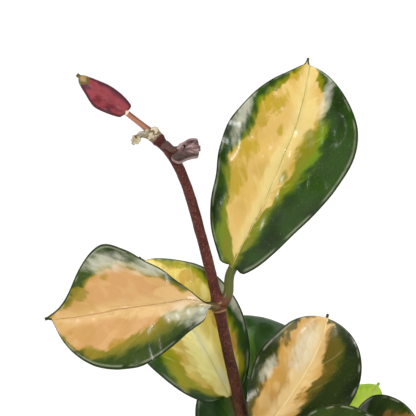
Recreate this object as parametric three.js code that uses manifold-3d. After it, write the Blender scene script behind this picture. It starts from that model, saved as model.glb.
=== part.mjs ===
// A potted hoya: seven leafy stems of thick, waxy leaves in a plain terracotta pot.
//
// Millimetres, +Z up. The origin is the centre of the pot's base. Seen from the front (from -Y) the
// main stem leans left as it rises, +X is to the right and +Y is behind.
// A leaf is one solid, blade and petiole together. Its petiole ends a small gap short of the stem.

import * as THREE from "three";
import { mergeVertices } from "three/addons/utils/BufferGeometryUtils.js";
import Module from "manifold-3d";

const wasm = await Module();
wasm.setup();

// ---------------------------------------------------------------- driving dimensions

const GAP = 0.3; // clearance where two pieces touch

const POT = {
  height: 108,
  baseRadius: 44,
  shoulderRadius: 56, // the wall just below the rim band
  rimRadius: 62,
  rimHeight: 25,
  wall: 6,
  rimWall: 8,
  floor: 8,
  edge: 1.5, // bevel of the edges
  sides: 40,
};

const SOIL = { edgeHeight: 94, crownHeight: 97 };

const STEM = { sides: 8, step: 9, nodeSwelling: 0.34, nodeLength: 3 };

const LEAF = {
  petioleRadius: 1.35,
  petioleLength: 10, // of the leaves that the rule below places
  baseThickness: 2.1, // at the midrib
  tipThickness: 1.3,
  marginThickness: 0.9,
  tipHalfWidth: 0.35,
};

// Colours, as on the plant.
const COLOUR = {
  terracotta: 0xb5694a,
  soil: 0x3b2a20,
  stem: 0x6b443c,
  cream: 0xdcc183,
  green: 0x2f4a26,
  plainGreen: 0x35562f,
  lime: 0xa5cc3f,
  red: 0x8a2f3a,
  driedCream: 0xcdb9a0,
  driedMauve: 0x7a6068,
};

// Each stem starts in its hole in the soil and passes through the points of its path. nodes are the
// places in the path, counted from 0, where the stem swells and leaves grow. radius is at foot and tip.
const STEMS = {
  main: {
    radius: [2.4, 1.7],
    nodes: [4, 6, 9, 14.6, 15],
    path: [
      [-3, 4, 84], [-3, 4, 95], [-3.6, 3.9, 103], [-5, 3.5, 112], [-7.5, 3, 125], [-10.5, 1.5, 142],
      [-12.8, 0.3, 159], [-15.9, 0, 174], [-19.2, 0, 188.5], [-22.3, 0, 204], [-25.3, 0, 217],
      [-28.8, 0, 230.5], [-32.1, 0, 242.5], [-35.8, 0, 252.5], [-40.5, 0, 260], [-46.8, 0, 266.7],
    ],
  },
  right: {
    radius: [2.3, 1.5],
    nodes: [3, 5, 7],
    path: [
      [24, -14, 84], [24, -14, 95], [25.5, -15.2, 104], [32, -21, 118], [43, -28, 136],
      [54, -33, 149], [63, -37, 159], [72, -40, 166],
    ],
  },
  back_right: {
    radius: [2.3, 1.3],
    nodes: [3, 4, 6],
    path: [
      [27, 22, 84], [27, 22, 95], [26.8, 22, 103], [26, 22, 112], [24.5, 22, 127], [25.5, 23, 140],
      [26.5, 23.5, 149],
    ],
  },
  front_left: {
    radius: [2.3, 1.4],
    nodes: [4, 6, 8],
    path: [
      [-22, -16, 84], [-22, -16, 95], [-23, -17.5, 103], [-27, -22, 113], [-36, -31, 125],
      [-48, -42, 132], [-61, -52, 131], [-73, -60, 121], [-82, -65, 105],
    ],
  },
  front: {
    radius: [2.2, 1.4],
    nodes: [4, 5, 7],
    path: [
      [2, -30, 84], [2, -30, 96], [2.2, -31.8, 104], [4, -41, 111], [7, -56, 115], [10, -69, 111],
      [12, -77, 100], [13, -81, 86],
    ],
  },
  back: {
    radius: [2.3, 1.4],
    nodes: [3, 5],
    path: [
      [-10, 27, 84], [-10, 27, 95], [-9.8, 27, 104], [-9, 27, 116], [-7, 26, 133], [-6, 25, 149],
    ],
  },
  back_left: {
    radius: [2.3, 1.4],
    nodes: [4, 6],
    path: [
      [-27, 10, 84], [-27, 10, 95], [-28.2, 10.5, 104], [-32, 12, 114], [-42, 16, 129],
      [-53, 19, 138], [-64, 22, 142],
    ],
  },
};

// Leaves with a place and a form of their own. base and tip are the ends of the blade, face is the way
// that its upper side looks. left and right are the half-widths that a plain oval would need at evenly
// spaced places from base to tip. arch and bend are the midrib's bow out of and in the blade's plane,
// as shares of the length. fold is the rise of each half at the midrib and cup the turn from
// there to the margin, in degrees. cusp is the length of the drip tip, and lobe the share of the length
// by which each margin is drawn back past the base. left comes first in fold, cup and lobe. A leaf with
// atEnd grows from the stem's very end.
const SHAPED_LEAVES = {
  leaf_upright: {
    stem: "main", node: 9, colour: "cream", face: [-0.25, -1, 0.25],
    base: [-17.6, -1.5, 218], tip: [8.8, 4, 291.3], cusp: 4, arch: 0.03, bend: 0.045, lobe: [0.035, 0.035],
    left: [14.5, 19.6, 21, 21, 22.6, 23.3, 22.2, 19.4, 8.5], right: [14, 16.1, 22.6, 28.1, 24.3],
    fold: [14, 14], cup: [-30, -35], petioleRadius: 1.7,
  },
  leaf_left: {
    stem: "main", node: 9, colour: "cream", face: [0.1, -1, 0.5],
    base: [-25.2, -6, 205.7], tip: [-81.5, -28, 205.6], cusp: 4, arch: 0.05, bend: 0.03, lobe: [0, 0],
    left: [14.5, 14, 17, 20, 22.4, 23.8, 25.4, 27.3, 29], right: [1.5, 7, 11.3, 15.2, 19.4, 22.8, 18.2, 8, 1],
    fold: [12, 12], cup: [-20, -10], petioleRadius: 1.4,
  },
  leaf_behind_stem: {
    stem: "main", node: 6, colour: "cream", face: [0, -1, 0.4],
    base: [-18.5, 4, 170.2], tip: [-51, 24, 216.8], cusp: 4, arch: 0.06, bend: 0.03, lobe: [0.03, 0.03],
    left: [19.5, 19.7, 20.8, 18, 6], right: [17, 18.3, 19.4, 18.2, 11], fold: [12, 12], cup: [-25, -25],
  },
  leaf_right: {
    stem: "main", node: 6, colour: "cream", face: [0, -1, 0.3],
    base: [-7.1, -10, 160], tip: [16.7, 6, 199.7], cusp: 2.5, arch: 0.06, bend: 0.05, lobe: [0.03, 0.03],
    left: [17, 17, 17.8, 17.3, 20], right: [16, 17.5, 20, 21.2, 22.5], fold: [12, 12], cup: [-25, -25],
  },
  leaf_front: {
    stem: "main", node: 4, colour: "green", face: [-0.35, -0.8, 0.7],
    base: [-3, -19, 141], tip: [36, -48, 172], cusp: 3, arch: 0.06, bend: 0, lobe: [0.03, 0.03],
    left: [20, 22, 21, 18, 12], right: [15, 17, 18, 17, 12], fold: [12, 12], cup: [-25, -25],
  },
  leaf_low_left: {
    stem: "main", node: 4, colour: "plainGreen", face: [0.3, -1, 0.2],
    base: [-13, 10, 131], tip: [-22, 17, 183], cusp: 4, arch: 0.06, bend: 0, lobe: [0.03, 0.03],
    left: [11, 13, 14.5, 13.5, 10], right: [12, 14, 15, 14, 9], fold: [12, 12], cup: [-25, -25],
  },
  leaf_far_right: {
    stem: "back_right", node: 4, colour: "green", face: [-0.5, -0.8, 0.5],
    base: [27.5, 14, 136.5], tip: [48.5, -8, 165.5], cusp: 3, arch: 0.06, bend: 0, lobe: [0.03, 0.03],
    left: [16, 19, 20, 20, 18], right: [16, 19, 20, 20, 16], fold: [12, 12], cup: [-25, -25],
  },
  leaf_young_lime: {
    stem: "back_right", node: 6, colour: "lime", face: [-0.4, -1, 0.2],
    base: [26.8, 24, 154], tip: [36.7, 26, 169.5], cusp: 2, arch: 0.06, bend: 0, lobe: [0.03, 0.03],
    left: [6, 7, 7.5, 7.5, 5], right: [6, 7, 7, 7, 5], fold: [12, 12], cup: [-25, -25],
  },
  leaf_plain_back: {
    stem: "back", node: 5, colour: "plainGreen", face: [0.1, -1, 0.4],
    base: [-8.5, 20, 159], tip: [-15, 38, 194], cusp: 4, arch: 0.1, bend: 0, lobe: [0.03, 0.03],
    left: [15, 17, 18, 17, 12], right: [18, 20, 21, 22, 17], fold: [12, 12], cup: [-25, -25],
  },
  leaf_young_red: {
    stem: "main", node: 15, colour: "red", face: [0.2, -1, 0.3], atEnd: true, petioleRadius: 1,
    base: [-53.9, 0, 272.6], tip: [-71.4, 0, 286], cusp: 2, arch: 0.04, bend: 0, lobe: [0.06, 0.11],
    left: [4.8, 5.3, 6, 4.6, 4.4], right: [4.6, 4.2, 3.6, 2.8, 2.4], fold: [18, 18], cup: [-10, -10],
  },
  dried_leaf_mauve: {
    stem: "main", node: 14.2, colour: "driedMauve", face: [0.1, -1, 0.35], petioleRadius: 1.2,
    base: [-36.8, -4.9, 260.6], tip: [-28.6, -5.2, 260.9], cusp: 0.8, arch: 0.05, bend: 0, lobe: [0, 0.45],
    left: [1.5, 1.9, 3.3, 4.4, 7], right: [6, 6.5, 4.6, 4.8, 8.5], fold: [20, 10], cup: [25, 30],
  },
  dried_leaf_cream: {
    stem: "main", node: 14.9, colour: "driedCream", face: [0, -1, 0.5], petioleRadius: 0.7,
    base: [-50.1, -3.6, 265], tip: [-52.2, -3.5, 262], cusp: 0.8, arch: 0.1, bend: 0, lobe: [0, 0],
    left: [1.7, 1.6, 1.5, 1.9, 2.3], right: [1.6, 1.8, 1.5, 1.7, 2.2], fold: [10, 10], cup: [-10, -10],
  },
};

// The other leaves follow one rule: each leaves its node the way that azimuth says (0 is +X, 90 is +Y),
// its blade rises by rise degrees and rolls by roll degrees about its midrib.
//            stem          node azimuth rise length roll  colour
const FOLIAGE = [
  ["right",        3, -122,   4, 66, -10, "cream"],
  ["right",        3,   48,  10, 64,   8, "green"],
  ["right",        5,  -38,   6, 68,   6, "cream"],
  ["right",        7,   62,  22, 58,   4, "cream"],
  ["right",        7, -112,   2, 62,  -6, "green"],
  ["back_right",   3,   32,   2, 64,   8, "cream"],
  ["back_right",   4,   98,  10, 62,   0, "green"],
  ["back_right",   6,  216,   2, 16,   0, "lime"],
  ["front_left",   4,  -52,   6, 62,   8, "cream"],
  ["front_left",   4,  136,   0, 58,  -8, "green"],
  ["front_left",   6,  -88,   2, 60,   6, "cream"],
  ["front_left",   6,  158,  14, 58, -10, "cream"],
  ["front_left",   8,  -70, -28, 56,   0, "green"],
  ["front_left",   8,  132, -24, 56,   0, "cream"],
  ["front",        4,  -12,   6, 58,  -4, "green"],
  ["front",        5,  188,   4, 60,   6, "cream"],
  ["front",        7,  -38, -34, 54,   0, "cream"],
  ["front",        7,  216, -38, 52,   0, "green"],
  ["back",         3,  160,   4, 64,  -6, "green"],
  ["back",         5,  100, -10, 60,   0, "cream"],
  ["back_left",    4,   96,  -6, 60,   8, "cream"],
  ["back_left",    4, -104,  26, 50,   0, "green"],
  ["back_left",    6,  192,  -4, 58,   0, "cream"],
  ["back_left",    6,  112, -14, 54,   6, "green"],
];

// ---------------------------------------------------------------- vector helpers

const vec = (p) => new THREE.Vector3(...p);
const toRadians = THREE.MathUtils.degToRad;
const lerp = THREE.MathUtils.lerp;

function moved(point, ...steps) {
  const result = point.clone();
  for (const [direction, distance] of steps) result.addScaledVector(direction, distance);
  return result;
}

// The part of a vector that is square to a unit vector, as a unit vector.
function squareTo(vector, axis) {
  return moved(vector, [axis, -vector.dot(axis)]).normalize();
}

// ---------------------------------------------------------------- solids

// A closed body through rings of points. On the two faces of a blade the quads are split alike.
function loft(rings, isBlade = false) {
  const count = rings[0].length;
  const points = rings.flat();
  const triangles = [];
  for (let ring = 0; ring < rings.length - 1; ring++) {
    for (let i = 0; i < count; i++) {
      const a = ring * count + i;
      const b = ring * count + ((i + 1) % count);
      const onLowerFace = isBlade && i >= count / 2;
      if (onLowerFace) triangles.push([a, b, a + count], [b, b + count, a + count]);
      else triangles.push([a, b, b + count], [a, b + count, a + count]);
    }
  }
  for (const [start, isFirst] of [[0, true], [points.length - count, false]]) {
    const middle = points.length;
    const end = points.slice(start, start + count);
    points.push(end.reduce((sum, p) => sum.add(p), new THREE.Vector3()).divideScalar(count));
    for (let i = 0; i < count; i++) {
      const a = start + i;
      const b = start + ((i + 1) % count);
      triangles.push(isFirst ? [middle, b, a] : [middle, a, b]);
    }
  }
  const geometry = new THREE.BufferGeometry();
  geometry.setAttribute("position", new THREE.Float32BufferAttribute(points.flatMap((p) => p.toArray()), 3));
  geometry.setIndex(triangles.flat());
  return geometry;
}

function toSolid(geometry) {
  geometry.deleteAttribute("normal");
  geometry.deleteAttribute("uv");
  const welded = mergeVertices(geometry, 1e-4);
  const vertProperties = welded.attributes.position.array;
  return new wasm.Manifold(new wasm.Mesh({ numProp: 3, vertProperties, triVerts: welded.index.array }));
}

function toGeometry(solid) {
  const { vertProperties, triVerts } = solid.getMesh();
  const geometry = new THREE.BufferGeometry();
  geometry.setAttribute("position", new THREE.BufferAttribute(vertProperties, 3));
  geometry.setIndex(new THREE.BufferAttribute(triVerts, 1));
  return geometry;
}

// A solid turned about the Z axis; its profile of [radius, height] starts and ends on the axis.
function lathe(profile) {
  const points = profile.map(([radius, height]) => new THREE.Vector2(radius, height));
  return new THREE.LatheGeometry(points, POT.sides).rotateX(Math.PI / 2);
}

// ---------------------------------------------------------------- pot and soil

// The inside of the pot's wall at a height.
function innerRadius(height) {
  const share = (height - POT.floor) / (POT.height - POT.floor);
  return lerp(POT.baseRadius - POT.wall, POT.rimRadius - POT.rimWall, share);
}

function makePot() {
  const { height, baseRadius, shoulderRadius, rimRadius, rimHeight, floor, edge } = POT;
  const band = height - rimHeight;
  return lathe([
    [0, 0], [baseRadius - edge, 0], [baseRadius, edge], [shoulderRadius, band], [rimRadius - edge, band],
    [rimRadius, band + edge], [rimRadius, height - edge], [rimRadius - edge, height],
    [innerRadius(height) + edge, height], [innerRadius(height - edge), height - edge],
    [innerRadius(floor), floor], [0, floor],
  ]);
}

// Soil with a low crown. Each stem's foot stands straight, so a plain round hole clears it.
function makeSoil() {
  const { edgeHeight, crownHeight } = SOIL;
  const bottom = POT.floor + GAP;
  const edgeRadius = innerRadius(edgeHeight) - GAP;
  let soil = toSolid(lathe([
    [0, bottom], [innerRadius(bottom) - GAP, bottom], [edgeRadius, edgeHeight],
    [edgeRadius * 0.6, lerp(edgeHeight, crownHeight, 0.8)], [edgeRadius * 0.3, crownHeight],
    [0, crownHeight],
  ]));
  const holeSides = 16;
  for (const { radius, path } of Object.values(STEMS)) {
    const [x, y, foot] = path[0];
    const height = 2 * (crownHeight - foot);
    const holeRadius = radius[0] + GAP;
    const hole = new THREE.CylinderGeometry(holeRadius, holeRadius, height, holeSides);
    hole.rotateX(Math.PI / 2).translate(x, y, foot - GAP + height / 2);
    soil = soil.subtract(toSolid(hole));
  }
  return toGeometry(soil);
}

// ---------------------------------------------------------------- stems

class Stem {
  constructor({ radius, nodes, path }) {
    this.radius = radius;
    this.spans = path.length - 1;
    this.nodes = nodes.map((node) => node / this.spans);
    this.curve = new THREE.CatmullRomCurve3(path.map(vec), false, "catmullrom", 0.5);
    this.length = this.curve.getLength();
  }

  // A thinning stem, thicker at its nodes.
  radiusAt(t) {
    const here = this.curve.getPoint(t);
    let swelling = 0;
    for (const node of this.nodes) {
      const distance = here.distanceTo(this.curve.getPoint(node)) / STEM.nodeLength;
      swelling += STEM.nodeSwelling * Math.exp(-distance * distance);
    }
    return lerp(this.radius[0], this.radius[1], t) * (1 + swelling);
  }

  // Evenly spaced rings, with three more at each node.
  ringPlaces() {
    const even = Math.round(this.length / STEM.step);
    const places = Array.from({ length: even + 1 }, (_, i) => i / even);
    const nearby = STEM.nodeLength / this.length;
    for (const node of this.nodes) {
      for (const shift of [-nearby, 0, nearby]) places.push(node + shift);
    }
    places.sort((a, b) => a - b);
    const spaced = places.filter((t, i) => t <= 1 && (i === 0 || t - places[i - 1] > nearby / 3));
    if (spaced.at(-1) < 1) spaced.push(1);
    return spaced;
  }

  geometry() {
    const forward = new THREE.Vector3(0, -1, 0);
    const rings = this.ringPlaces().map((t) => {
      const centre = this.curve.getPoint(t);
      const along = this.curve.getTangent(t);
      const front = squareTo(forward, along);
      const side = new THREE.Vector3().crossVectors(along, front);
      return Array.from({ length: STEM.sides }, (_, i) => {
        const angle = (2 * Math.PI * i) / STEM.sides;
        const radius = this.radiusAt(t);
        return moved(centre, [front, Math.cos(angle) * radius], [side, Math.sin(angle) * radius]);
      });
    });
    return loft(rings);
  }

  // Where a petiole that heads for a point starts, a gap clear of the stem, and which way it leaves.
  petioleStart(node, target, atEnd) {
    const t = node / this.spans;
    const centre = this.curve.getPoint(t);
    if (atEnd) {
      const along = this.curve.getTangent(t);
      return { start: moved(centre, [along, GAP]), out: along };
    }
    const out = squareTo(moved(target, [centre, -1]), this.curve.getTangent(t));
    return { start: moved(centre, [out, this.radiusAt(t) + GAP]), out };
  }
}

// ---------------------------------------------------------------- leaves

// A smooth curve through evenly spaced values, for x from 0 to 1.
function smoothThrough(values, x) {
  const last = values.length - 1;
  const i = Math.min(Math.floor(x * last), last - 1);
  const t = x * last - i;
  const [p0, p1, p2, p3] = [Math.max(i - 1, 0), i, i + 1, Math.min(i + 2, last)].map((k) => values[k]);
  const cubic = 2 * p0 - 5 * p1 + 4 * p2 - p3 + t * (3 * (p1 - p2) + p3 - p0);
  return p1 + 0.5 * t * (p2 - p0 + t * cubic);
}

const PETIOLE_ARC = 75; // degrees from the petiole's top to the corner of its upper half

class Leaf {
  constructor(form) {
    Object.assign(this, form);
    this.origin = vec(form.base);
    const reach = vec(form.tip).sub(this.origin);
    this.length = reach.length();
    this.axis = reach.normalize();
    this.up = squareTo(vec(form.face), this.axis);
    this.across = new THREE.Vector3().crossVectors(this.axis, this.up);
  }

  midrib(s) {
    const bow = this.length * 4 * s * (1 - s);
    const lift = this.arch * bow;
    return moved(this.origin, [this.axis, this.length * s], [this.up, lift], [this.across, this.bend * bow]);
  }

  // An oval measured by the half-widths, which ends within the cusp, blended into a fine spike.
  halfWidth(s, widths) {
    const share = Math.min(s / (1 - (0.6 * this.cusp) / this.length), 1);
    const oval = smoothThrough(widths, s) * 2 * Math.sqrt(share * (1 - share));
    const toTip = (1 - s) * this.length;
    const spike = 0.55 * toTip * Math.exp(-((toTip / (1.6 * this.cusp)) ** 2));
    return (oval ** 2.5 + spike ** 2.5) ** (1 / 2.5);
  }

  thickness(s, q) {
    const rib = lerp(LEAF.baseThickness, LEAF.tipThickness, s);
    return lerp(rib, LEAF.marginThickness, q * q);
  }

  // The ring of points round the blade at s, 0 at the base and 1 at the tip. shares are the places
  // between the midrib and the margin.
  bladeRing(s, shares) {
    const centre = this.midrib(s);
    const step = 1e-3;
    const along = this.midrib(s + step).sub(this.midrib(s - step)).normalize();
    const up = squareTo(this.up, along);
    const across = new THREE.Vector3().crossVectors(along, up);
    const upper = [];
    const lower = [];
    for (const place of shares) {
      const right = place > 0 ? 1 : 0;
      const side = Math.sign(place);
      const q = Math.abs(place);
      const half = Math.max(this.halfWidth(s, right ? this.right : this.left), LEAF.tipHalfWidth);
      const fold = toRadians(this.fold[right]);
      const cup = toRadians(this.cup[right]);
      const turn = (cup * q) / 2;
      const chord = q * half * (turn ? Math.sin(turn) / turn : 1);
      const middleAngle = fold + turn;
      const back = this.lobe[right] * this.length * q * q * (1 - s) ** 3;
      const point = moved(
        centre,
        [across, side * Math.cos(middleAngle) * chord],
        [up, Math.sin(middleAngle) * chord],
        [along, -back],
      );
      const tilt = side * (fold + cup * q);
      const normal = moved(new THREE.Vector3(), [up, Math.cos(tilt)], [across, -Math.sin(tilt)]);
      const thickness = this.thickness(s, q);
      upper.push(point);
      lower.unshift(moved(point, [normal, -thickness]));
    }
    return [...upper, ...lower];
  }

  // Rings of the petiole: a round stalk that curves from the stem into the blade's base.
  petioleRings(stem, node, count, shares) {
    const { start, out } = stem.petioleStart(node, this.origin, this.atEnd);
    const along = this.midrib(1e-3).sub(this.origin).normalize();
    const radius = this.petioleRadius ?? LEAF.petioleRadius;
    const end = moved(this.origin, [this.up, -radius], [along, -radius / 2]);
    const pull = start.distanceTo(end);
    const bendOut = moved(start, [out, 0.25 * pull]);
    const bendIn = moved(end, [along, -0.4 * pull]);
    const curve = new THREE.CubicBezierCurve3(start, bendOut, bendIn, end);
    return Array.from({ length: count }, (_, i) => {
      const centre = curve.getPoint(i / count);
      const tangent = curve.getTangent(i / count);
      const up = squareTo(this.up, tangent);
      const across = new THREE.Vector3().crossVectors(tangent, up);
      const arc = shares.map((place) => {
        const angle = toRadians(place * PETIOLE_ARC);
        return [Math.sin(angle) * radius, Math.cos(angle) * radius];
      });
      const upper = arc.map(([x, z]) => moved(centre, [across, x], [up, z]));
      const lower = arc.map(([x, z]) => moved(centre, [across, x], [up, -z])).reverse();
      return [...upper, ...lower];
    });
  }

  geometry(stem, node, { shares, stations, petioleRings }) {
    const rings = this.petioleRings(stem, node, petioleRings, shares);
    for (let i = 0; i <= stations; i++) {
      const s = (1 - Math.cos((Math.PI * (i + 0.3)) / (stations + 0.4))) / 2; // closer at both ends
      rings.push(this.bladeRing(s, shares));
    }
    return loft(rings, true);
  }
}

const FINE = { shares: [-1, -0.66, -0.33, 0, 0.33, 0.66, 1], stations: 12, petioleRings: 4 };
const PLAIN = { shares: [-1, -0.5, 0, 0.5, 1], stations: 7, petioleRings: 3 };
const SMALL_LEAF = 30; // shorter leaves are drawn plainly, on a shorter petiole

// The form of a leaf that follows the rule.
function ruledForm(stem, [, node, azimuth, rise, length, roll]) {
  const turn = toRadians(azimuth);
  const outward = vec([Math.cos(turn), Math.sin(turn), 0]);
  const up = vec([0, 0, 1]);
  const centre = stem.curve.getPoint(node / stem.spans);
  const lean = toRadians(rise);
  const petioleLean = toRadians(rise + 25);
  const petiole = LEAF.petioleLength * (length < SMALL_LEAF ? 0.5 : 1);
  const stalk = stem.radiusAt(node / stem.spans) + petiole;
  const base = moved(centre, [outward, Math.cos(petioleLean) * stalk], [up, Math.sin(petioleLean) * stalk]);
  const axis = moved(new THREE.Vector3(), [outward, Math.cos(lean)], [up, Math.sin(lean)]);
  const face = squareTo(up, axis).applyAxisAngle(axis, toRadians(roll));
  const halfWidths = [15, 17, 18, 17, 9].map((width) => (width * length) / 66);
  return {
    base: base.toArray(), tip: moved(base, [axis, length]).toArray(), face: face.toArray(),
    cusp: length / 16, arch: 0.07, bend: 0.015, lobe: [0.03, 0.03],
    left: halfWidths, right: halfWidths, fold: [12, 12], cup: [-28, -28],
  };
}

// ---------------------------------------------------------------- the plant

const plant = new THREE.Group();

function add(name, geometry, colour, roughness) {
  const material = new THREE.MeshStandardMaterial({ color: COLOUR[colour], roughness, metalness: 0 });
  const mesh = new THREE.Mesh(geometry, material);
  mesh.name = name;
  plant.add(mesh);
}

add("pot", makePot(), "terracotta", 0.85);
add("soil", makeSoil(), "soil", 1);

const stems = {};
for (const [name, form] of Object.entries(STEMS)) {
  stems[name] = new Stem(form);
  add(`stem_${name}`, stems[name].geometry(), "stem", 0.6);
}

for (const [name, form] of Object.entries(SHAPED_LEAVES)) {
  const leaf = new Leaf(form);
  const detail = leaf.length < SMALL_LEAF ? PLAIN : FINE;
  add(name, leaf.geometry(stems[form.stem], form.node, detail), form.colour, 0.3);
}

const leafCount = {};
for (const row of FOLIAGE) {
  const [stemName, node] = row;
  const stem = stems[stemName];
  const blade = new Leaf(ruledForm(stem, row)).geometry(stem, node, PLAIN);
  leafCount[stemName] = (leafCount[stemName] ?? 0) + 1;
  add(`leaf_${stemName}_${leafCount[stemName]}`, blade, row.at(-1), 0.3);
}

export default plant;
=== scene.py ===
# A potted hoya, seen from the front and a little above: the fine surfaces of its leaves, stems, soil
# and pot. The tables of stems and leaves are in millimetres and say the same as the part's own
# tables; MM turns them into metres. +Z is up and -Y is the front.

import math

import bpy
import numpy as np
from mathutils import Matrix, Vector


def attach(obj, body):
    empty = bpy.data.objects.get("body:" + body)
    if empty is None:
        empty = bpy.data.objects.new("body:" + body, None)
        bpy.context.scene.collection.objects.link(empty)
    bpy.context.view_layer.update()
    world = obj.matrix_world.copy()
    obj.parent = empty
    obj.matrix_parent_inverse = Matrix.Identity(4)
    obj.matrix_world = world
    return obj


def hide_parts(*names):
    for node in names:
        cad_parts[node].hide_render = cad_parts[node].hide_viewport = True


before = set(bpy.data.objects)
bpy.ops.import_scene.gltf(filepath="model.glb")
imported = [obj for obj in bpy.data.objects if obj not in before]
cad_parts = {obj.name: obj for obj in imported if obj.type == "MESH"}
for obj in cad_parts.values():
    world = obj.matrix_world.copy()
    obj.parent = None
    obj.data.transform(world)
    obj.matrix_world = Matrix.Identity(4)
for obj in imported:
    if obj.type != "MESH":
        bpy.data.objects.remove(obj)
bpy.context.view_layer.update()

MM = 0.001
BODY = "root"

# ---------------------------------------------------------------- the plant's tables, in millimetres

# radius is at foot and tip. nodes are the places in the path, counted from 0, where leaves grow.
STEMS = {
    "main": {
        "radius": (2.4, 1.7),
        "nodes": (4, 6, 9, 14.6, 15),
        "path": [
            (-3, 4, 84), (-3, 4, 95), (-3.6, 3.9, 103), (-5, 3.5, 112), (-7.5, 3, 125),
            (-10.5, 1.5, 142), (-12.8, 0.3, 159), (-15.9, 0, 174), (-19.2, 0, 188.5),
            (-22.3, 0, 204), (-25.3, 0, 217), (-28.8, 0, 230.5), (-32.1, 0, 242.5),
            (-35.8, 0, 252.5), (-40.5, 0, 260), (-46.8, 0, 266.7),
        ],
    },
    "right": {
        "radius": (2.3, 1.5),
        "nodes": (3, 5, 7),
        "path": [
            (24, -14, 84), (24, -14, 95), (25.5, -15.2, 104), (32, -21, 118), (43, -28, 136),
            (54, -33, 149), (63, -37, 159), (72, -40, 166),
        ],
    },
    "back_right": {
        "radius": (2.3, 1.3),
        "nodes": (3, 4, 6),
        "path": [
            (27, 22, 84), (27, 22, 95), (26.8, 22, 103), (26, 22, 112), (24.5, 22, 127),
            (25.5, 23, 140), (26.5, 23.5, 149),
        ],
    },
    "front_left": {
        "radius": (2.3, 1.4),
        "nodes": (4, 6, 8),
        "path": [
            (-22, -16, 84), (-22, -16, 95), (-23, -17.5, 103), (-27, -22, 113), (-36, -31, 125),
            (-48, -42, 132), (-61, -52, 131), (-73, -60, 121), (-82, -65, 105),
        ],
    },
    "front": {
        "radius": (2.2, 1.4),
        "nodes": (4, 5, 7),
        "path": [
            (2, -30, 84), (2, -30, 96), (2.2, -31.8, 104), (4, -41, 111), (7, -56, 115),
            (10, -69, 111), (12, -77, 100), (13, -81, 86),
        ],
    },
    "back": {
        "radius": (2.3, 1.4),
        "nodes": (3, 5),
        "path": [
            (-10, 27, 84), (-10, 27, 95), (-9.8, 27, 104), (-9, 27, 116), (-7, 26, 133), (-6, 25, 149),
        ],
    },
    "back_left": {
        "radius": (2.3, 1.4),
        "nodes": (4, 6),
        "path": [
            (-27, 10, 84), (-27, 10, 95), (-28.2, 10.5, 104), (-32, 12, 114), (-42, 16, 129),
            (-53, 19, 138), (-64, 22, 142),
        ],
    },
}

# What a row of LEAVES doesn't say.
USUAL_LEAF = {
    "stem": "main", "arch": 0.06, "bend": 0, "lobe": (0.03, 0.03), "fold": (12, 12), "cup": (-25, -25),
    "rib": (0, 0, 0, 0, 0), "ripple": (0.45, 9, 34), "radius": 1.35, "at_end": False,
}

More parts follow.
